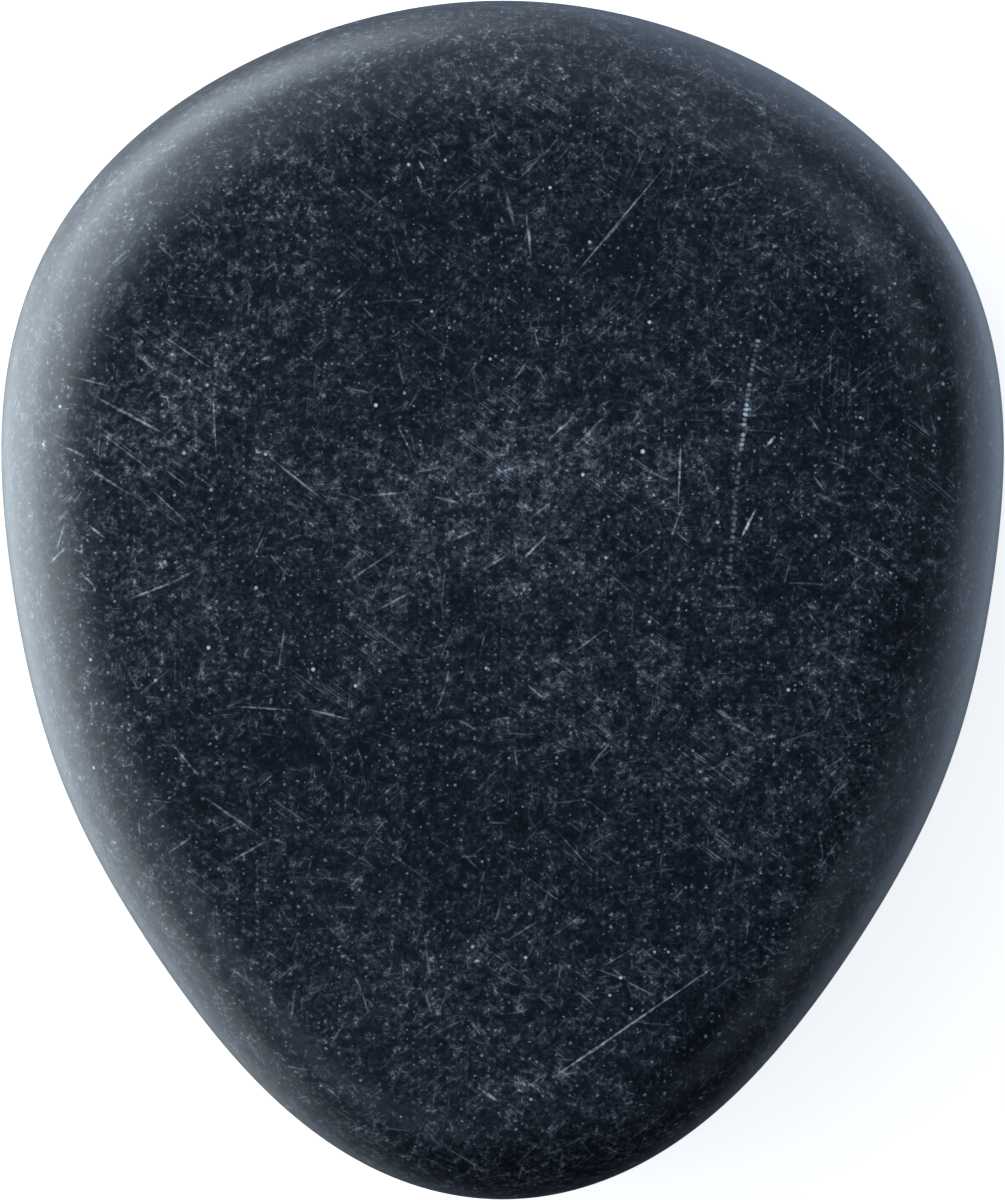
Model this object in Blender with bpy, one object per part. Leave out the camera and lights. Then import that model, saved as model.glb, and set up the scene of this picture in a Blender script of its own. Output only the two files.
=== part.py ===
"""Basalt massage stone: a single pebble of polished basalt, lying on its flat underside.

Metres, +Z up. The broad crown of the stone points to +Y and its narrower nose to -Y. The origin
is on the underside, in the middle of the stone's length and width.
"""

import math

import bmesh
import bpy

# Driving dimensions, in metres
LENGTH = 0.0900  # crown to nose, along Y
WIDTH = 0.0753  # across the widest line, along X
THICKNESS = 0.0220  # underside to the top of the dome
WAIST_HEIGHT = 0.0102  # the widest line all round, above the underside
DOME_RISE = 0.0008  # how far the top face swells above its own edge
NOSE_THINNING = 0.0015  # what the upper half loses in height towards the nose
ROUND_AT_CROWN = 0.0100  # plan width of the rounded rim at the crown
ROUND_AT_FLANK = 0.0088  # the same at either flank
ROUND_AT_NOSE = 0.0072  # the same at the nose

# Character of the outline: each value is a wave round the edge, as a share of the mean radius
ELONGATION = 0.089  # longer than wide
EGG_TAPER = 0.055  # broad crown, narrow nose
SHOULDER_FULLNESS = 0.007  # squarer shoulders
CHEEK_FLATNESS = 0.009  # straighter sides between widest line and nose
CROWN_FLATNESS = 0.009  # evens out the crown's curve
RIM_FULLNESS = 2.4  # exponent of the rim's profile: 2 is an ellipse, more is fuller

# Facets: how finely the solid is cut
FACETS_ROUND = 96
RIM_BANDS = 11  # from the waist to the edge of either face
FACE_BANDS = 5  # from a face's edge to its middle
OUTLINE_SAMPLES = 1440

STONE_COLOR = (0.027, 0.036, 0.049, 1.0)  # slate blue-black, linear
STONE_ROUGHNESS = 0.45

HALF_BANDS = RIM_BANDS + FACE_BANDS


def wavy_radius(angle):
    """Radius of the outline, mean radius 1, at an angle measured from the crown."""
    return (
        1.0
        + ELONGATION * math.cos(2 * angle)
        - EGG_TAPER * math.cos(3 * angle)
        + SHOULDER_FULLNESS * math.cos(4 * angle)
        - CHEEK_FLATNESS * math.cos(5 * angle)
        + CROWN_FLATNESS * math.cos(6 * angle)
    )


def outline_fit():
    """Scales and shift that give the wavy outline its true length and width about the origin."""
    angles = [2 * math.pi * step / OUTLINE_SAMPLES for step in range(OUTLINE_SAMPLES)]
    across = [wavy_radius(angle) * math.sin(angle) for angle in angles]
    along = [wavy_radius(angle) * math.cos(angle) for angle in angles]
    scale_x = WIDTH / (max(across) - min(across))
    scale_y = LENGTH / (max(along) - min(along))
    shift_y = -scale_y * (max(along) + min(along)) / 2
    return scale_x, scale_y, shift_y


def outline_point(angle, fit):
    """Point of the stone's widest line, seen from above."""
    scale_x, scale_y, shift_y = fit
    radius = wavy_radius(angle)
    return scale_x * radius * math.sin(angle), scale_y * radius * math.cos(angle) + shift_y


def round_width(angle):
    """Plan width of the rounded rim: smooth between its crown, flank and nose values."""
    mean = (ROUND_AT_CROWN + 2 * ROUND_AT_FLANK + ROUND_AT_NOSE) / 4
    lengthwise = (ROUND_AT_CROWN - ROUND_AT_NOSE) / 2
    crosswise = (ROUND_AT_CROWN - 2 * ROUND_AT_FLANK + ROUND_AT_NOSE) / 4
    return mean + lengthwise * math.cos(angle) + crosswise * math.cos(2 * angle)


def profile(latitude):
    """Rim inset share, rim height share and face share at a latitude from 0, waist, to 1, middle."""
    rim_end = RIM_BANDS / HALF_BANDS
    sweep = min(latitude / rim_end, 1.0) * math.pi / 2
    inset = 1.0 - max(math.cos(sweep), 0.0) ** (2 / RIM_FULLNESS)
    face = min((1.0 - latitude) / (1.0 - rim_end), 1.0)
    return inset, math.sin(sweep), face


def stone_point(angle, latitude, fit):
    """Surface point: latitude is +1 in the middle of the top face and -1 under the stone."""
    edge_x, edge_y = outline_point(angle, fit)
    inset, lift, face = profile(abs(latitude))
    reach = (1.0 - inset * round_width(angle) / math.hypot(edge_x, edge_y)) * face
    x, y = edge_x * reach, edge_y * reach
    if latitude < 0:
        return x, y, WAIST_HEIGHT * (1.0 - lift)
    towards_nose = max(-y, 0.0) / (LENGTH / 2)
    upper_height = THICKNESS - DOME_RISE - WAIST_HEIGHT - NOSE_THINNING * towards_nose**2
    return x, y, WAIST_HEIGHT + upper_height * lift + DOME_RISE * (1.0 - reach**2)


def stone_mesh():
    """A ball of latitude bands, reshaped into the pebble, with its foot as one flat face."""
    fit = outline_fit()
    shell = bmesh.new()
    bmesh.ops.create_uvsphere(shell, u_segments=FACETS_ROUND, v_segments=2 * HALF_BANDS, radius=1.0)
    latitudes = {}
    for vert in shell.verts:
        latitude = math.asin(max(-1.0, min(1.0, vert.co.z))) / (math.pi / 2)
        latitudes[vert] = round(latitude * HALF_BANDS) / HALF_BANDS
        vert.co = stone_point(math.atan2(vert.co.x, vert.co.y), latitudes[vert], fit)
    foot_edge = -RIM_BANDS / HALF_BANDS
    foot = [face for face in shell.faces if all(latitudes[vert] <= foot_edge for vert in face.verts)]
    bmesh.ops.dissolve_faces(shell, faces=foot, use_verts=True)
    bmesh.ops.recalc_face_normals(shell, faces=shell.faces)
    mesh = bpy.data.meshes.new("basalt_stone")
    shell.to_mesh(mesh)
    shell.free()
    mesh.shade_smooth()
    return mesh


def stone_material():
    material = bpy.data.materials.new("basalt")
    material.use_nodes = True
    shader = material.node_tree.nodes["Principled BSDF"]
    shader.inputs["Base Color"].default_value = STONE_COLOR
    shader.inputs["Roughness"].default_value = STONE_ROUGHNESS
    shader.inputs["Metallic"].default_value = 0.0
    return material


def main():
    for leftover in list(bpy.data.objects):
        bpy.data.objects.remove(leftover, do_unlink=True)
    mesh = stone_mesh()
    mesh.materials.append(stone_material())
    bpy.context.scene.collection.objects.link(bpy.data.objects.new("basalt_stone", mesh))


if __name__ == "__main__":
    main()
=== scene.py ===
"""Basalt massage stone: the fine stone and its finish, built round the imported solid.

Metres, +Z up, in the solid's own frame. The broad crown points to +Y, the narrow nose to -Y, and
the underside lies on z = 0.
"""

import math

import bmesh
import bpy
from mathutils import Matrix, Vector, noise


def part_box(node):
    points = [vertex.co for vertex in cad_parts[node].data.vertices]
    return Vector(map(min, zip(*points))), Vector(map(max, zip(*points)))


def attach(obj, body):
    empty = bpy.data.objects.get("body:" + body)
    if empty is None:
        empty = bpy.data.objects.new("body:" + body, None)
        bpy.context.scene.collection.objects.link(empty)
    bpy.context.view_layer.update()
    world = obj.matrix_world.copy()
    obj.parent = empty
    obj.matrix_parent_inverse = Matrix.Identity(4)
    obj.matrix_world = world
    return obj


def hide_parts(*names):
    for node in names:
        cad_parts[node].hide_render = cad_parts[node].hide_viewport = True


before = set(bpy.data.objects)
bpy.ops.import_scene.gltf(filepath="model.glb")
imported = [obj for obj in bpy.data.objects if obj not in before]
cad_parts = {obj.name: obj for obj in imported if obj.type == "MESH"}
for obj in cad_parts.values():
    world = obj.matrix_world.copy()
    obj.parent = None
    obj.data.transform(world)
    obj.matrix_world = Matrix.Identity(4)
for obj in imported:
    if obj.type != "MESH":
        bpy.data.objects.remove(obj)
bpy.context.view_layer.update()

bl_info = {
    "name": "Basalt Massage Stone",
    "version": (1, 0, 0),
    "blender": (4, 5, 0),
    "location": "3D View > Sidebar > Massage Stone",
    "description": "A polished basalt pebble for hot-stone massage, and its photo table",
    "category": "Add Mesh",
}

NODE = "basalt_stone"
BODY = "root"
STONE_LOW, STONE_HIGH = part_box(NODE)
STONE_SIZE = STONE_HIGH - STONE_LOW
MM = 0.001

# Character of the outline: each value is a wave round the edge, as a share of the mean radius
ELONGATION = 0.089
EGG_TAPER = 0.055
SHOULDER_FULLNESS = 0.007
CHEEK_FLATNESS = 0.009
CROWN_FLATNESS = 0.009
OUTLINE_SAMPLES = 1440

# How finely the surface is divided
FACETS_ROUND = 384
RIM_BANDS = 44
FACE_BANDS = 40
HALF_BANDS = RIM_BANDS + FACE_BANDS

UNROLLED = "Unrolled"
UNDERSIDE_SHIFT = 0.25  # where the underside's map starts, so that it has scratches of its own
BAKE_MAP = "OFBake"
RIM_MASK = "rim"
WEAR_MAP = "wear"
TOP_ISLAND = {"middle": (0.33, 0.60), "scale": 7.0, "up": 1.0}
UNDER_ISLAND = {"middle": (0.77, 0.30), "scale": 4.6, "up": -1.0}

# Spacing, length as a share of it, width, start and weight of each layer of short scratches
HAIR_LAYERS = (
    (2.8 * MM, 1.7, 0.12 * MM, 3.1, 0.8),
    (2.0 * MM, 1.5, 0.11 * MM, 17.7, 0.6),
    (1.4 * MM, 1.5, 0.10 * MM, 31.3, 0.5),
)

# Direction in degrees, length, width, cover and weight of each family of parallel scratches
STREAKS = (
    (-36.0, 5.0 * MM, 0.11 * MM, 0.45, 0.9),
    (40.0, 4.0 * MM, 0.11 * MM, 0.42, 0.7),
    (84.0, 4.0 * MM, 0.10 * MM, 0.40, 0.6),
    (5.0, 3.5 * MM, 0.10 * MM, 0.38, 0.6),
)

# Spacing and size of each layer of scattered flecks, and how rare the bright ones are
FLECK_LAYERS = (
    (0.50 * MM, 0.18 * MM, 9.0),
    (1.0 * MM, 0.21 * MM, 11.0),
    (2.6 * MM, 0.28 * MM, 10.0),
)

# Grain of the powdery skin, from coarse to fine, and a web of thin pale lines. A noise swings about
# a half, and a contrast is what its swing does to the logarithm of the powder's paleness
GRAIN_SIZE = 2.6 * MM
GRAIN_DETAIL = 4.5
GRAIN_ROUGHNESS = 0.78
GRAIN_CONTRAST = 4.6
SPECKLE_SIZE = 0.8 * MM
SPECKLE_DETAIL = 1.0
SPECKLE_ROUGHNESS = 0.6
SPECKLE_CONTRAST = 4.3
FINE_SIZE = 0.33 * MM
FINE_DETAIL = 1.0
FINE_ROUGHNESS = 0.7
FINE_CONTRAST = 5.4
WEB_SIZE = 1.0 * MM
WEB_DETAIL = 2.0
WEB_ROUGHNESS = 0.7
WEB_THINNESS = 0.03
WEB_CONTRAST = 1.3
NOISE_MIDDLE = 0.5

# Strength of each kind of mark
HAIR_STRENGTH = 1.6
LONG_STRENGTH = 1.7
SCATTERED_FLECK_STRENGTH = 0.75
SINGLE_FLECK_STRENGTH = 1.5
FLECKS_ON_RIM = 0.45

# Smooth changes: value where each begins, value where it ends, result at its beginning, result at its end
FACE_FROM_RIM = (0.75, 0.3, 0.0, 1.0)
FLECKS_TOWARDS_RIM = (0.1, 0.6, 1.0, FLECKS_ON_RIM)
HAIRS_BROKEN_BY_GRAIN = (-0.15, 0.15, 0.3, 1.0)
HAIRS_BROKEN_BY_SPECKLE = (-0.12, 0.12, 0.15, 1.0)
LONG_ONES_BROKEN = (-0.2, 0.2, 0.35, 1.3)
STREAK_LINES = (0.62, 0.85, 0.0, 1.0)
FLECK_RAGGEDNESS = (0.35, 0.65, 0.5, 1.5)
HAIR_WEIGHTS = (0.3, 1.0, 0.05, 1.0)

# Short scratches: where the line is gone and full, as shares of half its width; shortest, and how much
# longer the longest; where its end begins to fade
HAIR_EDGE = 1.6
HAIR_CORE = 0.2
HAIR_SHORTEST = 0.12
HAIR_LONGER = 0.35
HAIR_END = 0.5
HAIR_WEIGHT_MIX = 7.0
HAIR_SEED_SKEW = 0.73

# Parallel scratches: the patches they gather in, and how sharply those end
STREAK_PATCH_SPAN = 1.1
STREAK_PATCH_PLACE = (0.4, 0.1, 0.7)
STREAK_PATCH_EDGES = (0.95, 1.15)

# Scattered flecks: smallest as a share of the usual size, and the full middle of each
FLECK_SMALLEST = 0.6
FLECK_CORE = 0.2
FLECK_NOTCH = 0.5

# Placed marks: a gradient from 1 in the middle to 0 at the edge, raised so that the inner half is full
MARK_FULLNESS = 2.0
MARK_SPREAD = 0.58
BEAD_SPREAD = 1.2
# Strength of each bead in turn
BEAD_BEAT = (1.0, 0.6, 0.85, 0.5, 0.95, 0.7)

# Polish: what scratches add to the roughness, and the shallow bump of the grain
SCRATCH_ROUGHNESS = 0.15
SPECKLE_IN_BUMP = 2.0
BUMP_DEPTH = 0.01 * MM
BUMP_STRENGTH = 0.6
PALEST = 0.8

# Hand-ground unevenness: span of its swellings, and the finer ones on them
UNEVEN_SPAN = 17 * MM
FINER_SWELLING = 2.3
FINER_SHARE = 0.5
FINER_PLACE = Vector((7.1, 2.9, 4.3))

# A worn patch is full out to the first share of its radius, and gone at the second
PATCH_FULL = 0.2
PATCH_END = 1.3

# Patches of the top face, in millimetres: middle, radius, and how much paler than the rest, or darker
WORN_PATCHES = (
    ((2.2, 9.6), 6.0, 0.9),
    ((-6.8, 7.0), 5.0, 0.7),
    ((0.9, 2.8), 5.0, 0.6),
    ((7.8, 10.5), 3.5, 0.3),
    ((3.5, -6.7), 4.5, 0.4),
    ((-8.5, 0.2), 3.5, 0.3),
    ((13.8, 9.6), 3.5, 0.35),
    ((-22.7, 15.6), 5.0, 0.9),
    ((-26.6, 11.3), 4.5, 0.8),
    ((-17.0, 9.6), 3.5, 0.5),
    ((-25.7, 1.9), 5.0, 0.6),
    ((-20.5, -1.5), 4.0, 0.4),
    ((-12.0, -6.7), 4.0, 0.3),
    ((0.0, -36.0), 3.5, 0.7),
    ((-8.5, -29.0), 7.0, 0.4),
    ((18.1, -10.1), 4.0, 0.4),
    ((25.0, -4.1), 4.5, 0.4),
    ((26.7, 26.8), 4.0, 0.6),
    ((18.1, 28.5), 5.0, 0.3),
    ((-17.0, 29.4), 5.0, 0.4),
    ((11.3, 37.1), 5.0, 0.4),
    ((-0.8, 38.9), 5.0, 0.5),
    ((-3.4, 24.2), 11.0, -0.25),
    ((9.5, 25.0), 5.0, -0.4),
    ((24.6, 18.2), 6.0, -0.9),
    ((31.0, 12.2), 5.0, -0.6),
    ((-15.4, -11.0), 7.0, -0.5),
    ((-2.5, -16.2), 8.0, -0.35),
    ((13.0, -19.6), 5.5, -0.3),
    ((20.7, 2.8), 5.0, -0.3),
    ((14.7, -33.4), 6.0, -0.7),
    ((30.2, -2.4), 4.0, -0.8),
)

# Single flecks of the top face, in millimetres: middle, radius, brightness
SINGLE_FLECKS = (
    ((5.9, 9.2), 0.17, 0.9),
    ((10.3, 10.9), 0.20, 1.0),
    ((10.8, 20.4), 0.17, 0.9),
    ((7.6, 3.1), 0.14, 0.7),
    ((11.1, 7.7), 0.14, 0.5),
    ((11.8, 7.2), 0.14, 0.5),
    ((15.8, 5.7), 0.16, 0.8),
    ((15.8, 8.2), 0.14, 0.5),
    ((23.0, 4.7), 0.16, 0.6),
    ((26.3, 13.4), 0.14, 0.6),
    ((31.8, 11.4), 0.14, 0.6),
    ((31.7, 11.0), 0.12, 0.5),
    ((32.6, 16.0), 0.18, 0.7),
    ((32.2, 13.4), 0.16, 0.6),
    ((28.9, 23.3), 0.14, 0.6),
    ((10.8, -1.6), 0.14, 0.6),
    ((-1.2, -5.0), 0.14, 0.7),
    ((-9.3, 14.3), 0.18, 1.0),
    ((-7.2, 15.2), 0.15, 0.5),
    ((-6.9, 32.0), 0.15, 0.9),
    ((-4.2, 32.3), 0.14, 0.7),
    ((3.5, 30.3), 0.14, 0.9),
    ((6.4, 26.3), 0.15, 0.6),
    ((4.1, 22.1), 0.14, 0.6),
    ((-5.2, 21.2), 0.14, 0.7),
    ((-3.9, 20.0), 0.13, 0.5),
    ((-0.9, 17.7), 0.14, 0.7),
    ((-10.8, -6.3), 0.16, 0.8),
    ((-13.9, -5.1), 0.18, 0.8),
    ((-21.6, -3.5), 0.18, 0.9),
    ((-25.5, -5.9), 0.15, 0.6),
    ((-30.4, -4.4), 0.15, 0.7),
    ((-30.7, -12.6), 0.16, 0.8),
    ((-32.7, 14.3), 0.16, 0.7),
    ((-23.0, 16.1), 0.15, 0.6),
    ((-21.7, 15.8), 0.15, 0.6),
    ((-23.4, 10.8), 0.18, 0.7),
    ((-24.1, 7.7), 0.14, 0.5),
    ((-21.4, 8.1), 0.16, 0.5),
    ((-17.4, 10.7), 0.14, 0.7),
    ((-24.8, 2.8), 0.15, 0.6),
    ((-18.1, 0.9), 0.16, 0.7),
    ((1.7, -26.3), 0.15, 0.8),
    ((-2.2, -25.5), 0.16, 0.6),
    ((8.7, -27.8), 0.15, 0.9),
    ((7.9, -29.1), 0.14, 0.7),
    ((9.5, -30.1), 0.14, 0.5),
    ((11.2, -25.9), 0.13, 0.6),
    ((12.2, -25.9), 0.13, 0.6),
    ((2.1, -36.8), 0.14, 0.6),
    ((21.0, -6.6), 0.17, 0.8),
)

# Scratches of the top face, in millimetres: start, end, width, strength
LONG_SCRATCHES = (
    ((2.6, -36.0), (16.0, -26.7), 0.17, 1.0),
    ((3.4, -35.4), (10.0, -30.9), 0.18, 1.1),
    ((5.9, -33.7), (7.7, -32.5), 0.24, 1.6),
    ((6.8, -27.1), (9.2, -28.0), 0.14, 0.5),
    ((9.0, -28.0), (11.3, -29.2), 0.15, 0.6),
    ((-1.7, -36.0), (-0.3, -37.0), 0.25, 1.2),
    ((0.5, -37.1), (1.7, -38.1), 0.16, 0.5),
    ((0.4, -25.0), (3.1, -23.3), 0.18, 0.4),
    ((-5.8, -24.1), (-5.3, -28.0), 0.22, 0.4),
    ((-5.8, -28.4), (-5.1, -30.9), 0.22, 0.4),
    ((-5.0, -30.9), (-6.7, -32.4), 0.14, 0.4),
    ((0.3, -30.5), (2.1, -30.1), 0.15, 0.4),
    ((1.7, -36.0), (3.2, -34.9), 0.14, 0.5),
    ((7.3, -27.0), (9.7, -25.6), 0.14, 0.4),
    ((4.9, 23.4), (12.4, 32.4), 0.15, 0.9),
    ((6.5, 25.3), (9.3, 28.4), 0.15, 0.5),
    ((1.7, 28.9), (2.1, 24.8), 0.17, 0.6),
    ((1.9, 27.6), (2.1, 24.9), 0.20, 1.2),
    ((0.2, 30.1), (0.9, 27.4), 0.30, 0.5),
    ((-6.3, 31.2), (-5.9, 30.2), 0.17, 0.8),
    ((-6.2, 32.4), (-5.7, 31.5), 0.20, 1.2),
    ((2.3, 20.0), (2.7, 18.3), 0.15, 0.7),
    ((2.4, 19.2), (3.7, 19.0), 0.14, 0.6),
    ((1.8, 17.6), (1.0, 16.3), 0.16, 0.6),
    ((2.3, 17.5), (3.2, 16.0), 0.14, 0.5),
    ((4.6, 19.4), (4.1, 18.3), 0.20, 0.5),
    ((2.7, 32.3), (4.3, 34.2), 0.14, 0.5),
    ((3.9, 32.1), (5.0, 33.4), 0.15, 0.5),
    ((7.1, 20.4), (6.2, 19.4), 0.20, 0.5),
    ((-10.3, 21.6), (-9.4, 20.6), 0.16, 0.5),
    ((13.1, 11.6), (12.9, 6.8), 0.17, 1.2),
    ((18.6, 6.7), (17.5, 4.5), 0.22, 2.2),
    ((19.4, 11.3), (20.1, 12.1), 0.26, 1.6),
    ((18.4, 10.3), (18.2, 9.1), 0.16, 0.5),
    ((19.8, 4.8), (19.6, 3.9), 0.15, 0.5),
    ((22.8, 9.2), (23.7, 7.9), 0.15, 0.6),
    ((22.7, 8.0), (25.3, 6.8), 0.30, 0.3),
    ((22.6, 13.4), (23.4, 12.2), 0.16, 0.5),
    ((24.2, 19.3), (24.0, 15.4), 0.14, 0.4),
    ((31.5, 18.0), (32.1, 18.9), 0.25, 0.6),
    ((31.3, 16.2), (31.4, 15.2), 0.20, 0.6),
    ((14.5, 15.0), (16.4, 16.9), 0.16, 0.4),
    ((12.5, 5.2), (13.8, 4.1), 0.14, 0.5),
    ((3.2, 11.6), (5.5, 13.7), 0.19, 0.8),
    ((5.2, 11.1), (7.6, 13.6), 0.24, 0.7),
    ((1.9, 5.9), (3.9, 7.4), 0.17, 0.7),
    ((1.6, 3.1), (3.4, 4.9), 0.20, 1.4),
    ((-1.6, 2.1), (0.3, 3.3), 0.20, 0.9),
    ((-3.9, 4.3), (-1.4, 5.4), 0.16, 0.7),
    ((-9.8, 7.7), (-6.8, 7.9), 0.20, 0.8),
    ((-5.1, 7.6), (-3.1, 7.1), 0.22, 0.8),
    ((-7.8, 13.0), (-6.5, 10.4), 0.15, 0.6),
    ((-11.3, 1.4), (-7.7, 3.8), 0.15, 0.7),
    ((-9.3, -0.8), (-6.5, 0.7), 0.19, 0.7),
    ((5.0, -4.0), (7.7, -2.0), 0.16, 0.7),
    ((1.8, -6.2), (3.2, -7.4), 0.17, 0.8),
    ((3.3, -16.2), (7.7, -21.1), 0.14, 0.4),
    ((15.4, -7.9), (17.0, -8.8), 0.35, 0.5),
    ((16.6, -8.9), (18.6, -9.9), 0.30, 0.5),
    ((-25.8, 20.0), (-20.8, 16.6), 0.16, 0.7),
    ((-32.3, 16.6), (-28.4, 15.6), 0.16, 0.6),
    ((-30.2, 15.1), (-24.3, 11.9), 0.22, 0.9),
    ((-30.0, 12.7), (-25.2, 9.0), 0.14, 0.6),
    ((-30.0, 13.1), (-26.8, 10.5), 0.14, 0.5),
    ((-24.8, 9.6), (-23.1, 8.3), 0.15, 0.6),
    ((-32.3, 11.3), (-30.6, 10.5), 0.24, 0.8),
    ((-30.8, 9.9), (-27.1, 7.6), 0.20, 0.8),
    ((-26.0, 8.3), (-23.1, 5.6), 0.15, 0.7),
    ((-21.3, 15.4), (-21.0, 10.2), 0.15, 0.5),
    ((-17.6, 10.9), (-13.0, 7.2), 0.17, 0.7),
    ((-30.4, 5.5), (-29.2, 4.5), 0.20, 1.1),
    ((-27.6, 0.0), (-24.2, 1.3), 0.18, 1.1),
    ((-24.6, 1.1), (-22.0, 2.5), 0.16, 0.5),
    ((-33.9, 2.7), (-32.2, 3.9), 0.24, 0.9),
    ((-33.2, 3.4), (-32.3, 5.8), 0.15, 0.6),
    ((-31.3, 2.2), (-30.0, 1.0), 0.20, 0.9),
    ((-16.0, -2.0), (-16.5, -5.4), 0.15, 0.6),
    ((-20.0, -7.8), (-15.2, -8.1), 0.15, 0.7),
    ((-14.4, -8.0), (-11.1, -8.8), 0.16, 0.9),
    ((-24.1, -10.8), (-22.1, -13.2), 0.16, 0.6),
    ((-22.5, -14.1), (-17.7, -17.4), 0.17, 0.7),
    ((-24.7, -18.7), (-22.7, -17.3), 0.18, 0.7),
    ((-20.0, -19.2), (-17.3, -17.7), 0.18, 0.7),
)

# Rows of beads where a tool chattered, in millimetres: start, end, number of beads, length and
# breadth of a bead, strength
BEAD_ROWS = (
    ((18.8, 19.2), (18.2, 16.4), 8, 0.36, 0.28, 1.0),
    ((18.15, 16.0), (17.7, 12.7), 9, 0.38, 0.28, 1.8),
    ((17.7, 12.3), (17.5, 10.9), 4, 0.36, 0.30, 1.4),
    ((17.4, 10.2), (16.6, 1.3), 20, 0.34, 0.30, 0.5),
)

# Where each soft light stands, in degrees round from +X and up, and its strength
WINDOW_LIGHTS = (
    (180, -50, 2.4),
    (120, -15, 4.0),
    (150, -15, 4.0),
    (180, -15, 4.2),
    (210, -15, 1.4),
    (150, 20, 3.8),
    (180, 20, 2.7),
)
FILL_LIGHTS = (
    (0, -50, 0.7),
    (45, -50, 0.6),
    (90, -50, 0.25),
    (220, -50, 0.2),
    (0, -15, 1.1),
    (60, -15, 0.95),
    (90, 20, 0.6),
    (330, 20, 0.5),
    (45, 45, 0.8),
    (135, 45, 1.1),
    (225, 45, 0.8),
)
SOFT_LIGHT_FOCUS = 14.0
WINDOW_COLOUR = (0.88, 1.0, 1.08)
FILL_COLOUR = (0.78, 0.97, 1.24)
SOFT_FLOOR_ROUGHNESS = 0.9
BACKDROP_STRENGTH = 1.1
FLOOR_REACH = 3.0
FLOOR_GAP = 0.1 * MM

# How much more of the scene the picture takes in than the stone's length
FRAME_MARGIN = 1.0023


def distance(name, description, default):
    return bpy.props.FloatProperty(
        name=name, description=description, default=default, subtype="DISTANCE", unit="LENGTH"
    )


def share(name, description, default):
    return bpy.props.FloatProperty(
        name=name, description=description, default=default, min=0.0, max=1.0, subtype="FACTOR"
    )


def colour(name, description, default):
    return bpy.props.FloatVectorProperty(
        name=name, description=description, default=default, size=3, min=0.0, max=1.0, subtype="COLOR"
    )


class StoneShape(bpy.types.PropertyGroup):
    """Sizes of the stone."""

    length: distance("Length", "From the crown to the nose", STONE_SIZE.y)
    width: distance("Width", "Across the widest line", STONE_SIZE.x)
    thickness: distance("Thickness", "From the underside to the top of the dome", STONE_SIZE.z)
    waist_height: distance("Waist Height", "Height of the widest line above the underside", 10.2 * MM)
    dome_rise: distance("Dome Rise", "How far the top face swells above its own edge", 0.8 * MM)
    nose_thinning: distance("Nose Thinning", "What the upper half loses in height at the nose", 1.5 * MM)
    round_at_crown: distance("Rounding at Crown", "Plan width of the rim at the crown", 10.0 * MM)
    round_at_flank: distance("Rounding at Flank", "Plan width of the rim at a flank", 8.8 * MM)
    round_at_nose: distance("Rounding at Nose", "Plan width of the rim at the nose", 7.2 * MM)
    rim_fullness: bpy.props.FloatProperty(
        name="Rim Fullness", description="Exponent of the rim's profile, 2 is an ellipse", default=2.4
    )
    unevenness: distance("Unevenness", "How far the ground faces wander from true", 0.07 * MM)


class StoneFinish(bpy.types.PropertyGroup):
    """Colours and gloss of the polished basalt."""

    ground: colour("Ground Colour", "The dark glassy mass between the crystals", (0.0010, 0.0034, 0.0088))
    powder: colour("Powder Colour", "Worn, powdery skin of the stone", (0.0114, 0.0122, 0.0138))
    scratch: colour("Scratch Colour", "Crushed stone in a scratch", (0.150, 0.165, 0.180))
    fleck: colour("Fleck Colour", "Bright mineral flecks", (0.50, 0.54, 0.57))
    face_roughness: share("Face Roughness", "Roughness of the worn faces", 0.28)
    rim_roughness: share("Rim Roughness", "Roughness of the rim", 0.28)


class StoneStudio(bpy.types.PropertyGroup):
    """The table, the light and the lens."""

    floor: colour("Floor Colour", "The plain pale table", (0.9, 0.9, 0.9))
    glow: share("Floor Glow", "How far the table's own light evens out its shadows for the camera", 0.78)
    light: bpy.props.FloatProperty(
        name="Light", description="Strength of all the lights", default=1.0, min=0.0
    )
    lens: bpy.props.FloatProperty(
        name="Lens", description="Focal length", default=200.0, min=1.0, subtype="DISTANCE_CAMERA"
    )


# Shape of the stone


def wavy_radius(angle):
    """Radius of the outline, mean radius 1, at an angle measured from the crown."""
    return (
        1.0
        + ELONGATION * math.cos(2 * angle)
        - EGG_TAPER * math.cos(3 * angle)
        + SHOULDER_FULLNESS * math.cos(4 * angle)
        - CHEEK_FLATNESS * math.cos(5 * angle)
        + CROWN_FLATNESS * math.cos(6 * angle)
    )


def outline_fit(shape):
    """Scales and shift that give the wavy outline its length and width about the origin."""
    angles = [2 * math.pi * step / OUTLINE_SAMPLES for step in range(OUTLINE_SAMPLES)]
    across = [wavy_radius(angle) * math.sin(angle) for angle in angles]
    along = [wavy_radius(angle) * math.cos(angle) for angle in angles]
    scale_x = shape.width / (max(across) - min(across))
    scale_y = shape.length / (max(along) - min(along))
    shift_y = -scale_y * (max(along) + min(along)) / 2
    return scale_x, scale_y, shift_y


def outline_point(angle, fit):
    """Point of the stone's widest line, seen from above."""
    scale_x, scale_y, shift_y = fit
    radius = wavy_radius(angle)
    return Vector((scale_x * radius * math.sin(angle), scale_y * radius * math.cos(angle) + shift_y))


def round_width(angle, shape):
    """Plan width of the rounded rim: smooth between its crown, flank and nose values."""
    mean = (shape.round_at_crown + 2 * shape.round_at_flank + shape.round_at_nose) / 4
    lengthwise = (shape.round_at_crown - shape.round_at_nose) / 2
    crosswise = (shape.round_at_crown - 2 * shape.round_at_flank + shape.round_at_nose) / 4
    return mean + lengthwise * math.cos(angle) + crosswise * math.cos(2 * angle)


def rim_sweep(latitude):
    """Turn round the rim, 0 at the waist and a right angle where a face begins."""
    return min(abs(latitude) * HALF_BANDS / RIM_BANDS, 1.0) * math.pi / 2


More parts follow.
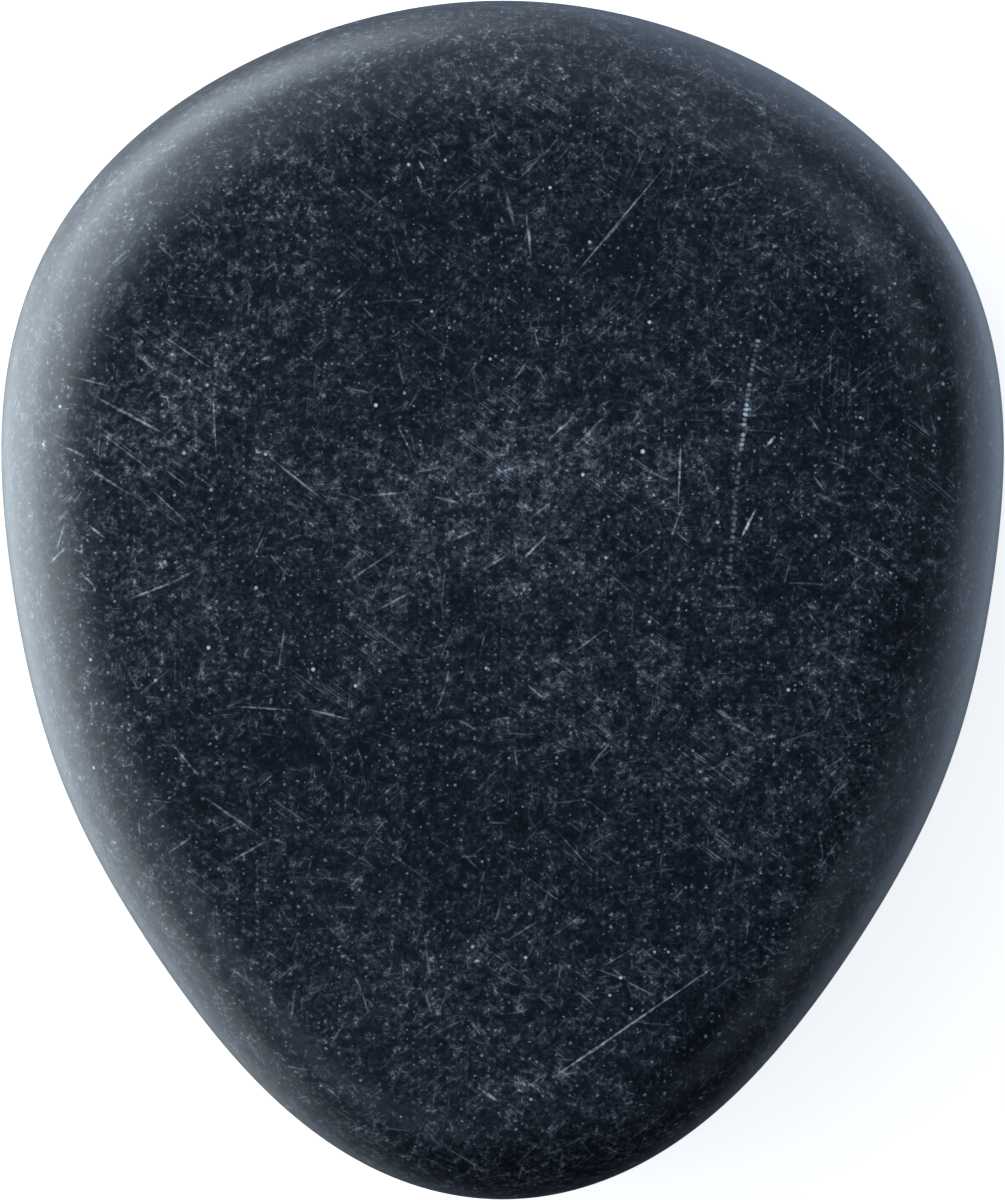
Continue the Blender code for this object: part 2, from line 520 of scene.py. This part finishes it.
def stone_point(angle, latitude, shape, fit):
    """Surface point of the true form: latitude is +1 in the middle of the top and -1 underneath."""
    edge = outline_point(angle, fit)
    sweep = rim_sweep(latitude)
    inset = 1.0 - max(math.cos(sweep), 0.0) ** (2 / shape.rim_fullness)
    face = min((1.0 - abs(latitude)) * HALF_BANDS / FACE_BANDS, 1.0)
    reach = (1.0 - inset * round_width(angle, shape) / edge.length) * face
    x, y = edge * reach
    lift = math.sin(sweep)
    if latitude < 0:
        return Vector((x, y, shape.waist_height * (1.0 - lift)))
    towards_nose = max(-y, 0.0) / (shape.length / 2)
    thinned = shape.nose_thinning * towards_nose**2
    upper_height = shape.thickness - shape.dome_rise - shape.waist_height - thinned
    return Vector((x, y, shape.waist_height + upper_height * lift + shape.dome_rise * (1.0 - reach**2)))


def wander(point, span):
    """Smooth unevenness between -1 and 1, with hollows and swellings about one span across."""
    finer = noise.noise(point * (FINER_SWELLING / span) + FINER_PLACE)
    return noise.noise(point / span) + FINER_SHARE * finer


def hand_ground(point, latitude, shape):
    """The point as grinding and tumbling left it: a little off the true form, never below the table."""
    sweep = rim_sweep(latitude)
    drift = shape.unevenness * wander(point, UNEVEN_SPAN)
    if latitude < 0 and sweep == math.pi / 2:
        return point + Vector((0, 0, abs(drift)))
    outward = Vector((point.x, point.y, 0)).normalized() * math.cos(sweep)
    upward = Vector((0, 0, math.copysign(math.sin(sweep), latitude)))
    moved = point + (outward + upward) * drift * math.sin(sweep)
    moved.z = max(moved.z, 0.0)
    return moved


def way_from_middle(angle, side, shape, fit):
    """Length along the surface from the middle of a face to each band, down to the waist at 0."""
    lengths = {HALF_BANDS: 0.0}
    before = stone_point(angle, side, shape, fit)
    for band in range(HALF_BANDS - 1, -1, -1):
        here = stone_point(angle, side * band / HALF_BANDS, shape, fit)
        lengths[band] = lengths[band + 1] + (here - before).length
        before = here
    return lengths


def unrolled_map(shape, fit):
    """Flat coordinates of every grid point: true on the faces and rolled out flat past their edges."""
    places = {}
    for column in range(FACETS_ROUND):
        angle = 2 * math.pi * column / FACETS_ROUND
        away = outline_point(angle, fit).normalized()
        for side in (1, -1):
            for band, length in way_from_middle(angle, side, shape, fit).items():
                places[column, band, side] = away * length
    return places


def grid_place(vert):
    """Column round the ball, and signed band from -HALF_BANDS, underneath, to +HALF_BANDS, on top."""
    column = round(math.atan2(vert.co.x, vert.co.y) / (2 * math.pi) * FACETS_ROUND) % FACETS_ROUND
    band = round(math.asin(max(-1.0, min(1.0, vert.co.z))) / (math.pi / 2) * HALF_BANDS)
    return column, band


def lay_out_maps(shell, grid, places):
    """The unrolled map for patterns, and the same laid out in a square for baking."""
    unrolled = shell.loops.layers.uv.new(UNROLLED)
    baked = shell.loops.layers.uv.new(BAKE_MAP)
    for face in shell.faces:
        side = 1 if sum(grid[vert][1] for vert in face.verts) > 0 else -1
        island = TOP_ISLAND if side > 0 else UNDER_ISLAND
        for loop in face.loops:
            column, band = grid[loop.vert]
            place = places[column, abs(band), side]
            loop[unrolled].uv = place + Vector((UNDERSIDE_SHIFT, 0)) * (side < 0)
            turned = Vector((place.x, place.y * island["up"]))
            loop[baked].uv = Vector(island["middle"]) + turned * island["scale"]


def wear_at(place):
    """How much paler, or darker, wear has left the top face at a place of the unrolled map."""
    total = 0.0
    for middle, radius, paler in WORN_PATCHES:
        away = (place - Vector(middle) * MM).length / (radius * MM)
        fade = max(0.0, min(1.0, (PATCH_END - away) / (PATCH_END - PATCH_FULL)))
        total += paler * fade * fade * (3 - 2 * fade)
    return total


def stone_mesh(shape):
    """A ball of latitude bands, reshaped into the pebble."""
    fit = outline_fit(shape)
    places = unrolled_map(shape, fit)
    shell = bmesh.new()
    bmesh.ops.create_uvsphere(shell, u_segments=FACETS_ROUND, v_segments=2 * HALF_BANDS, radius=1.0)
    rim = shell.verts.layers.float.new(RIM_MASK)
    wear = shell.verts.layers.float.new(WEAR_MAP)
    grid = {vert: grid_place(vert) for vert in shell.verts}
    for vert, (column, band) in grid.items():
        latitude = band / HALF_BANDS
        point = stone_point(2 * math.pi * column / FACETS_ROUND, latitude, shape, fit)
        vert.co = hand_ground(point, latitude, shape)
        vert[rim] = 1.0 - rim_sweep(latitude) / (math.pi / 2)
        vert[wear] = wear_at(places[column, band, 1]) if band >= 0 else 0.0
    bmesh.ops.recalc_face_normals(shell, faces=shell.faces)
    lay_out_maps(shell, grid, places)
    mesh = bpy.data.meshes.new("massage_stone")
    shell.to_mesh(mesh)
    shell.free()
    mesh.shade_smooth()
    return mesh


# Wiring of shader nodes


class Wires:
    """Adds nodes to a tree and wires them. A value is a number, a tuple or another node's output."""

    def __init__(self, tree):
        self.tree = tree

    def feed(self, socket, value):
        if isinstance(value, bpy.types.NodeSocket):
            self.tree.links.new(value, socket)
        else:
            socket.default_value = value

    def node(self, kind, inputs=None, **settings):
        node = self.tree.nodes.new(kind)
        for name, value in settings.items():
            setattr(node, name, value)
        for name, value in (inputs or {}).items():
            self.feed(node.inputs[name], value)
        return node

    def math(self, operation, *values, clamp=False):
        node = self.node("ShaderNodeMath", operation=operation, use_clamp=clamp)
        for socket, value in zip(node.inputs, values):
            self.feed(socket, value)
        return node.outputs["Value"]

    def vector(self, operation, *values, output="Vector"):
        node = self.node("ShaderNodeVectorMath", operation=operation)
        for socket, value in zip(node.inputs, values):
            self.feed(socket, value)
        return node.outputs[output]

    def scaled(self, vector, factor):
        node = self.node("ShaderNodeVectorMath", {"Scale": factor}, operation="SCALE")
        self.feed(node.inputs[0], vector)
        return node.outputs["Vector"]

    def ramp(self, value, low, high, to_low=0.0, to_high=1.0):
        """Smooth change from to_low, where value is at low, to to_high, where it is at high."""
        settings = {"Value": value, "From Min": low, "From Max": high, "To Min": to_low, "To Max": to_high}
        return self.node("ShaderNodeMapRange", settings, interpolation_type="SMOOTHSTEP").outputs["Result"]

    def noise(self, vector, size, detail=0.0, roughness=0.5):
        """Noise with features about one size across."""
        linked = isinstance(size, bpy.types.NodeSocket)
        per_size = self.math("DIVIDE", 1.0, size) if linked else 1.0 / size
        settings = {"Vector": vector, "Scale": per_size, "Detail": detail, "Roughness": roughness}
        return self.node("ShaderNodeTexNoise", settings).outputs[0]

    def swing(self, vector, size, detail, roughness):
        """Noise about zero."""
        return self.math("SUBTRACT", self.noise(vector, size, detail, roughness), NOISE_MIDDLE)

    def turned(self, vector, angle):
        settings = {"Vector": vector, "Angle": angle}
        return self.node("ShaderNodeVectorRotate", settings, rotation_type="Z_AXIS").outputs["Vector"]


def new_group(name, inputs, outputs):
    """An empty shader group with named sockets, its wires, its input node and its output node."""
    tree = bpy.data.node_groups.new(name, "ShaderNodeTree")
    for label, default in inputs.items():
        kind = "NodeSocketVector" if default is None else "NodeSocketFloat"
        socket = tree.interface.new_socket(label, in_out="INPUT", socket_type=kind)
        if default is not None:
            socket.default_value = default
    for label in outputs:
        tree.interface.new_socket(label, in_out="OUTPUT", socket_type="NodeSocketFloat")
    wires = Wires(tree)
    return wires, wires.node("NodeGroupInput").outputs, wires.node("NodeGroupOutput").inputs


def hair_scratch_group():
    """Short fine scratches: one in each cell of a Voronoi pattern, turned, bent and weighted at random."""
    inputs = {"Vector": None, "Spacing": 2 * MM, "Length": 0.8, "Width": 0.12 * MM, "Bend": 0.3}
    inputs["Seed"] = 0.0
    wires, given, result = new_group("Hair Scratches", inputs, ["Mask"])
    skewed = wires.math("MULTIPLY", given["Seed"], HAIR_SEED_SKEW)
    shift = wires.node("ShaderNodeCombineXYZ", {"X": given["Seed"], "Y": skewed})
    cells = wires.scaled(given["Vector"], wires.math("DIVIDE", 1.0, given["Spacing"]))
    place = wires.vector("ADD", cells, shift.outputs["Vector"])
    cell = wires.node("ShaderNodeTexVoronoi", {"Vector": place, "Scale": 1.0}, voronoi_dimensions="2D")
    chance = wires.node("ShaderNodeSeparateColor", {"Color": cell.outputs["Color"]}).outputs
    from_middle = wires.vector("SUBTRACT", place, cell.outputs["Position"])
    turned = wires.turned(from_middle, wires.math("MULTIPLY", chance["Red"], math.pi))
    parts = wires.node("ShaderNodeSeparateXYZ", {"Vector": turned}).outputs
    curl = wires.math("MULTIPLY", wires.math("SUBTRACT", chance["Green"], 0.5), given["Bend"])
    bow = wires.math("MULTIPLY", wires.math("MULTIPLY", parts["X"], parts["X"]), curl)
    off_line = wires.math("ABSOLUTE", wires.math("ADD", parts["Y"], bow))
    half_width = wires.math("DIVIDE", wires.math("MULTIPLY", given["Width"], 0.5), given["Spacing"])
    edge = wires.math("MULTIPLY", half_width, HAIR_EDGE)
    line = wires.ramp(off_line, edge, wires.math("MULTIPLY", half_width, HAIR_CORE))
    share = wires.math("ADD", wires.math("MULTIPLY", chance["Blue"], HAIR_LONGER), HAIR_SHORTEST)
    half_length = wires.math("MULTIPLY", given["Length"], share)
    fading = wires.math("MULTIPLY", half_length, HAIR_END)
    ends = wires.ramp(wires.math("ABSOLUTE", parts["X"]), half_length, fading)
    remixed = wires.math("FRACT", wires.math("MULTIPLY", chance["Green"], HAIR_WEIGHT_MIX))
    weight = wires.ramp(remixed, *HAIR_WEIGHTS)
    wires.feed(result["Mask"], wires.math("MULTIPLY", wires.math("MULTIPLY", line, ends), weight))
    return wires.tree


def streak_group():
    """Bundles of long fine parallel scratches: noise drawn out along one direction."""
    inputs = {"Vector": None, "Direction": 0.0, "Length": 5 * MM, "Width": 0.12 * MM, "Cover": 0.5}
    wires, given, result = new_group("Streaks", inputs, ["Mask"])
    turned = wires.turned(given["Vector"], wires.math("MULTIPLY", given["Direction"], -1.0))
    parts = wires.node("ShaderNodeSeparateXYZ", {"Vector": turned}).outputs
    drawn = wires.node("ShaderNodeCombineXYZ")
    wires.feed(drawn.inputs["X"], wires.math("DIVIDE", parts["X"], given["Length"]))
    wires.feed(drawn.inputs["Y"], wires.math("DIVIDE", parts["Y"], given["Width"]))
    wires.feed(drawn.inputs["Z"], given["Direction"])
    lines = wires.ramp(wires.noise(drawn.outputs["Vector"], 1.0), *STREAK_LINES)
    elsewhere = wires.vector("ADD", given["Vector"], STREAK_PATCH_PLACE)
    patches = wires.noise(elsewhere, wires.math("MULTIPLY", given["Length"], STREAK_PATCH_SPAN))
    gone, full = (wires.math("SUBTRACT", edge, given["Cover"]) for edge in STREAK_PATCH_EDGES)
    wires.feed(result["Mask"], wires.math("MULTIPLY", lines, wires.ramp(patches, gone, full)))
    return wires.tree


def fleck_group():
    """Bright mineral flecks: small dots, one in a cell, most of them faint."""
    inputs = {"Vector": None, "Spacing": 1.0 * MM, "Size": 0.2 * MM, "Rarity": 4.0}
    wires, given, result = new_group("Flecks", inputs, ["Mask"])
    cells = wires.scaled(given["Vector"], wires.math("DIVIDE", 1.0, given["Spacing"]))
    cell = wires.node("ShaderNodeTexVoronoi", {"Vector": cells, "Scale": 1.0}, voronoi_dimensions="2D")
    chance = wires.node("ShaderNodeSeparateColor", {"Color": cell.outputs["Color"]}).outputs
    radius = wires.math("DIVIDE", wires.math("MULTIPLY", given["Size"], 0.5), given["Spacing"])
    own_radius = wires.math("MULTIPLY", radius, wires.math("ADD", chance["Green"], FLECK_SMALLEST))
    notches = wires.noise(given["Vector"], wires.math("MULTIPLY", given["Size"], FLECK_NOTCH))
    own_radius = wires.math("MULTIPLY", own_radius, wires.ramp(notches, *FLECK_RAGGEDNESS))
    dot = wires.ramp(cell.outputs["Distance"], own_radius, wires.math("MULTIPLY", own_radius, FLECK_CORE))
    brightness = wires.math("POWER", chance["Red"], given["Rarity"])
    wires.feed(result["Mask"], wires.math("MULTIPLY", dot, brightness))
    return wires.tree


def mark(wires, vector, middle, reach, turn=0.0):
    """An ellipse with a soft edge, placed and turned, all measured in millimetres and radians."""
    node = wires.node("ShaderNodeTexGradient", {"Vector": vector}, gradient_type="SPHERICAL")
    place = node.texture_mapping
    place.vector_type = "TEXTURE"
    place.translation = (middle[0] * MM, middle[1] * MM, 0)
    place.rotation = (0, 0, turn)
    place.scale = (reach[0] * MM, reach[1] * MM, 1)
    return wires.math("MULTIPLY", node.outputs["Fac"], MARK_FULLNESS, clamp=True)


def line_mark(wires, vector, start, end, width):
    """One straight scratch, fading at its ends."""
    run = Vector(end) - Vector(start)
    middle = (Vector(end) + Vector(start)) / 2
    reach = (run.length / 2, width * MARK_SPREAD)
    return mark(wires, vector, middle, reach, math.atan2(run.y, run.x))


def bead_marks(wires, vector, row):
    """A row of short bars across the line from start to end."""
    start, end, number, length, breadth, strength = row
    run = Vector(end) - Vector(start)
    across = math.atan2(run.y, run.x) + math.pi / 2
    marks = []
    for step in range(number):
        middle = Vector(start) + run * ((step + 0.5) / number)
        bead = mark(wires, vector, middle, (length / 2 * BEAD_SPREAD, breadth / 2 * BEAD_SPREAD), across)
        marks.append(wires.math("MULTIPLY", bead, strength * BEAD_BEAT[step % len(BEAD_BEAT)]))
    return marks


def heap(wires, operation, masks):
    """All the masks put together by one operation."""
    total = masks[0]
    for mask in masks[1:]:
        total = wires.math(operation, total, mask)
    return total


def placed_scratch_group():
    """The separate scratches and rows of beads of the top face, each in its own place."""
    wires, given, result = new_group("Placed Scratches", {"Vector": None}, ["Mask"])
    masks = []
    for start, end, width, strength in LONG_SCRATCHES:
        line = line_mark(wires, given["Vector"], start, end, width)
        masks.append(wires.math("MULTIPLY", line, strength))
    for row in BEAD_ROWS:
        masks.extend(bead_marks(wires, given["Vector"], row))
    wires.feed(result["Mask"], heap(wires, "MAXIMUM", masks))
    return wires.tree


def placed_fleck_group():
    """The brightest flecks of the top face, each in its own place."""
    wires, given, result = new_group("Placed Flecks", {"Vector": None}, ["Mask"])
    masks = []
    for middle, radius, brightness in SINGLE_FLECKS:
        dot = mark(wires, given["Vector"], middle, (radius, radius))
        masks.append(wires.math("MULTIPLY", dot, brightness * SINGLE_FLECK_STRENGTH))
    wires.feed(result["Mask"], heap(wires, "MAXIMUM", masks))
    return wires.tree


def masked(wires, group, values):
    """Mask of a group placed with its own values."""
    node = wires.node("ShaderNodeGroup", node_tree=group)
    for label, value in values.items():
        wires.feed(node.inputs[label], value)
    return node.outputs["Mask"]


def powder_amount(wires, solid, grain, speckle, fine, worn):
    """How much of the pale powder shows: grain, web and wear add up in the logarithm."""
    folds = wires.math("ABSOLUTE", wires.swing(solid, WEB_SIZE, WEB_DETAIL, WEB_ROUGHNESS))
    shares = [
        wires.math("MULTIPLY", grain, GRAIN_CONTRAST),
        wires.math("MULTIPLY", speckle, SPECKLE_CONTRAST),
        wires.math("MULTIPLY", fine, FINE_CONTRAST),
        wires.math("MULTIPLY", wires.ramp(folds, WEB_THINNESS, 0.0), WEB_CONTRAST),
        worn,
    ]
    return wires.math("EXPONENT", heap(wires, "ADD", shares))


def hairline_mask(wires, flat, grain, speckle):
    """Short scratches and parallel ones, broken up where the grain is dark."""
    hairs = hair_scratch_group()
    masks = []
    for spacing, length, width, seed, strength in HAIR_LAYERS:
        values = {"Vector": flat, "Spacing": spacing, "Length": length, "Width": width, "Seed": seed}
        masks.append(wires.math("MULTIPLY", masked(wires, hairs, values), strength))
    streaks = streak_group()
    for degrees, length, width, cover, strength in STREAKS:
        values = {"Vector": flat, "Length": length, "Width": width, "Cover": cover}
        values["Direction"] = math.radians(degrees)
        masks.append(wires.math("MULTIPLY", masked(wires, streaks, values), strength))
    breaks = wires.ramp(grain, *HAIRS_BROKEN_BY_GRAIN)
    broken = wires.math("MULTIPLY", breaks, wires.ramp(speckle, *HAIRS_BROKEN_BY_SPECKLE))
    whole = wires.math("MULTIPLY", heap(wires, "MAXIMUM", masks), broken)
    return wires.math("MULTIPLY", whole, HAIR_STRENGTH)


def long_scratch_mask(wires, flat, speckle, fine):
    """The placed scratches, made patchy by the grain."""
    patchy = wires.ramp(wires.math("ADD", speckle, fine), *LONG_ONES_BROKEN)
    placed = masked(wires, placed_scratch_group(), {"Vector": flat})
    return wires.math("MULTIPLY", wires.math("MULTIPLY", placed, patchy), LONG_STRENGTH)


def fleck_mask(wires, flat, rim):
    """Scattered and placed flecks, fewer on the rim."""
    flecks = fleck_group()
    masks = []
    for spacing, size, rarity in FLECK_LAYERS:
        values = {"Vector": flat, "Spacing": spacing, "Size": size, "Rarity": rarity}
        masks.append(wires.math("MULTIPLY", masked(wires, flecks, values), SCATTERED_FLECK_STRENGTH))
    masks.append(masked(wires, placed_fleck_group(), {"Vector": flat}))
    return wires.math("MULTIPLY", heap(wires, "MAXIMUM", masks), wires.ramp(rim, *FLECKS_TOWARDS_RIM))


def stone_material(finish):
    """Polished basalt: dark ground and paler grain, under hairlines, scratches and flecks."""
    material = bpy.data.materials.new("polished_basalt")
    material.use_nodes = True
    shader = material.node_tree.nodes["Principled BSDF"]
    wires = Wires(material.node_tree)
    solid = wires.node("ShaderNodeTexCoord").outputs["Object"]
    flat = wires.node("ShaderNodeUVMap", uv_map=UNROLLED).outputs["UV"]
    rim = wires.node("ShaderNodeAttribute", attribute_name=RIM_MASK).outputs["Fac"]
    worn = wires.node("ShaderNodeAttribute", attribute_name=WEAR_MAP).outputs["Fac"]
    grain = wires.swing(solid, GRAIN_SIZE, GRAIN_DETAIL, GRAIN_ROUGHNESS)
    speckle = wires.swing(solid, SPECKLE_SIZE, SPECKLE_DETAIL, SPECKLE_ROUGHNESS)
    fine = wires.swing(solid, FINE_SIZE, FINE_DETAIL, FINE_ROUGHNESS)

    powder = powder_amount(wires, solid, grain, speckle, fine, worn)
    hairlines = hairline_mask(wires, flat, grain, speckle)
    scratches = wires.math("MAXIMUM", hairlines, long_scratch_mask(wires, flat, speckle, fine))
    scratches = wires.math("MULTIPLY", scratches, wires.ramp(rim, *FACE_FROM_RIM))
    base = wires.vector("ADD", (*finish.ground,), wires.scaled((*finish.powder,), powder))
    scratched = wires.vector("ADD", base, wires.scaled((*finish.scratch,), scratches))
    flecked = wires.vector("ADD", scratched, wires.scaled((*finish.fleck,), fleck_mask(wires, flat, rim)))
    wires.feed(shader.inputs["Base Color"], wires.vector("MINIMUM", flecked, (PALEST, PALEST, PALEST)))

    polish = wires.ramp(rim, 0.0, 1.0, finish.face_roughness, finish.rim_roughness)
    roughening = wires.math("MULTIPLY", scratches, SCRATCH_ROUGHNESS)
    wires.feed(shader.inputs["Roughness"], wires.math("ADD", polish, roughening))
    height = wires.math("ADD", wires.math("MULTIPLY", speckle, SPECKLE_IN_BUMP), fine)
    settings = {"Height": height, "Distance": BUMP_DEPTH, "Strength": BUMP_STRENGTH}
    wires.feed(shader.inputs["Normal"], wires.node("ShaderNodeBump", settings).outputs["Normal"])
    return material


# The table, the light and the lens


def floor_material(studio):
    """A plain pale matt table. Its own glow, for the camera alone, evens out its shadows."""
    material = bpy.data.materials.new("pale_table")
    material.use_nodes = True
    tree = material.node_tree
    wires = Wires(tree)
    shader = tree.nodes["Principled BSDF"]
    shader.inputs["Base Color"].default_value = (*studio.floor, 1)
    shader.inputs["Roughness"].default_value = SOFT_FLOOR_ROUGHNESS
    seen = wires.node("ShaderNodeLightPath").outputs["Is Camera Ray"]
    shader.inputs["Emission Color"].default_value = (1, 1, 1, 1)
    wires.feed(shader.inputs["Emission Strength"], wires.math("MULTIPLY", seen, studio.glow))
    return material


def add_floor(studio):
    """A wide flat table a hair below the stone, left out of the stone's own shading."""
    floor = bmesh.new()
    bmesh.ops.create_grid(floor, x_segments=1, y_segments=1, size=FLOOR_REACH)
    bmesh.ops.translate(floor, verts=floor.verts, vec=(0, 0, -FLOOR_GAP))
    mesh = bpy.data.meshes.new("table")
    floor.to_mesh(mesh)
    floor.free()
    mesh.materials.append(floor_material(studio))
    table = bpy.data.objects.new("table", mesh)
    bpy.context.scene.collection.objects.link(table)
    table.visible_glossy = False
    table.visible_shadow = False


def add_light(studio):
    """Broad soft lights all round, painted on the sky: strong from the left, weak at the nose."""
    world = bpy.data.worlds.new("studio")
    bpy.context.scene.world = world
    world.use_nodes = True
    tree = world.node_tree
    tree.nodes.clear()
    wires = Wires(tree)
    towards = wires.node("ShaderNodeTexCoord").outputs["Generated"]
    glows = []
    for places, tint in ((WINDOW_LIGHTS, WINDOW_COLOUR), (FILL_LIGHTS, FILL_COLOUR)):
        lobes = []
        for azimuth, elevation, strength in places:
            around, up = math.radians(azimuth), math.radians(elevation)
            middle = (math.cos(around) * math.cos(up), math.sin(around) * math.cos(up), math.sin(up))
            alignment = wires.vector("DOT_PRODUCT", towards, middle, output="Value")
            facing = wires.math("MAXIMUM", alignment, 0.0)
            focused = wires.math("POWER", facing, SOFT_LIGHT_FOCUS)
            lobes.append(wires.math("MULTIPLY", focused, strength * studio.light))
        glows.append(wires.scaled(tint, heap(wires, "ADD", lobes)))
    lights = wires.node("ShaderNodeBackground", {"Color": wires.vector("ADD", *glows)})
    settings = {"Color": (*studio.floor, 1), "Strength": BACKDROP_STRENGTH}
    backdrop = wires.node("ShaderNodeBackground", settings)
    seen = wires.node("ShaderNodeLightPath").outputs["Is Camera Ray"]
    mixed = wires.node("ShaderNodeMixShader", {"Fac": seen})
    wires.feed(mixed.inputs[1], lights.outputs["Background"])
    wires.feed(mixed.inputs[2], backdrop.outputs["Background"])
    wires.node("ShaderNodeOutputWorld", {"Surface": mixed.outputs["Shader"]})


def add_camera(studio, shape):
    """Straight above the middle of the stone, which fills the picture from crown to nose."""
    data = bpy.data.cameras.new("lens")
    data.lens = studio.lens
    camera = bpy.data.objects.new("lens", data)
    bpy.context.scene.collection.objects.link(camera)
    height = studio.lens / data.sensor_width * shape.length * FRAME_MARGIN
    camera.location = (0, 0, shape.waist_height + height)
    bpy.context.scene.camera = camera


# Commands


class MassageStoneCommand:
    bl_options = {"REGISTER", "UNDO"}

    @classmethod
    def poll(cls, context):
        return context.mode == "OBJECT"


class STONE_OT_add_stone(MassageStoneCommand, bpy.types.Operator):
    """Make the basalt stone, with its finish, in place of the plain solid"""

    bl_idname = "massage_stone.add_stone"
    bl_label = "Add Stone"

    def execute(self, context):
        mesh = stone_mesh(context.scene.stone_shape)
        mesh.materials.append(stone_material(context.scene.stone_finish))
        stone = bpy.data.objects.new("massage_stone", mesh)
        context.scene.collection.objects.link(stone)
        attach(stone, BODY)
        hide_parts(NODE)
        return {"FINISHED"}


class STONE_OT_add_studio(MassageStoneCommand, bpy.types.Operator):
    """Set up the pale table, the soft light and the camera"""

    bl_idname = "massage_stone.add_studio"
    bl_label = "Add Studio"

    def execute(self, context):
        studio = context.scene.stone_studio
        add_floor(studio)
        add_light(studio)
        add_camera(studio, context.scene.stone_shape)
        context.scene.view_settings.view_transform = "Standard"
        return {"FINISHED"}


class STONE_PT_panel(bpy.types.Panel):
    """Sizes, finish and commands of the massage stone"""

    bl_idname = "STONE_PT_panel"
    bl_label = "Massage Stone"
    bl_space_type = "VIEW_3D"
    bl_region_type = "UI"
    bl_category = "Massage Stone"

    def draw(self, context):
        for group in (context.scene.stone_shape, context.scene.stone_finish, context.scene.stone_studio):
            box = self.layout.box()
            for name in group.bl_rna.properties.keys():
                if name not in ("rna_type", "name"):
                    box.prop(group, name)
        self.layout.operator(STONE_OT_add_stone.bl_idname)
        self.layout.operator(STONE_OT_add_studio.bl_idname)


CLASSES = (StoneShape, StoneFinish, StoneStudio, STONE_OT_add_stone, STONE_OT_add_studio, STONE_PT_panel)


def register():
    for cls in CLASSES:
        bpy.utils.register_class(cls)
    bpy.types.Scene.stone_shape = bpy.props.PointerProperty(type=StoneShape)
    bpy.types.Scene.stone_finish = bpy.props.PointerProperty(type=StoneFinish)
    bpy.types.Scene.stone_studio = bpy.props.PointerProperty(type=StoneStudio)


def unregister():
    del bpy.types.Scene.stone_studio
    del bpy.types.Scene.stone_finish
    del bpy.types.Scene.stone_shape
    for cls in reversed(CLASSES):
        bpy.utils.unregister_class(cls)


def main():
    register()
    bpy.ops.massage_stone.add_stone()
    bpy.ops.massage_stone.add_studio()


if __name__ == "__main__":
    main()
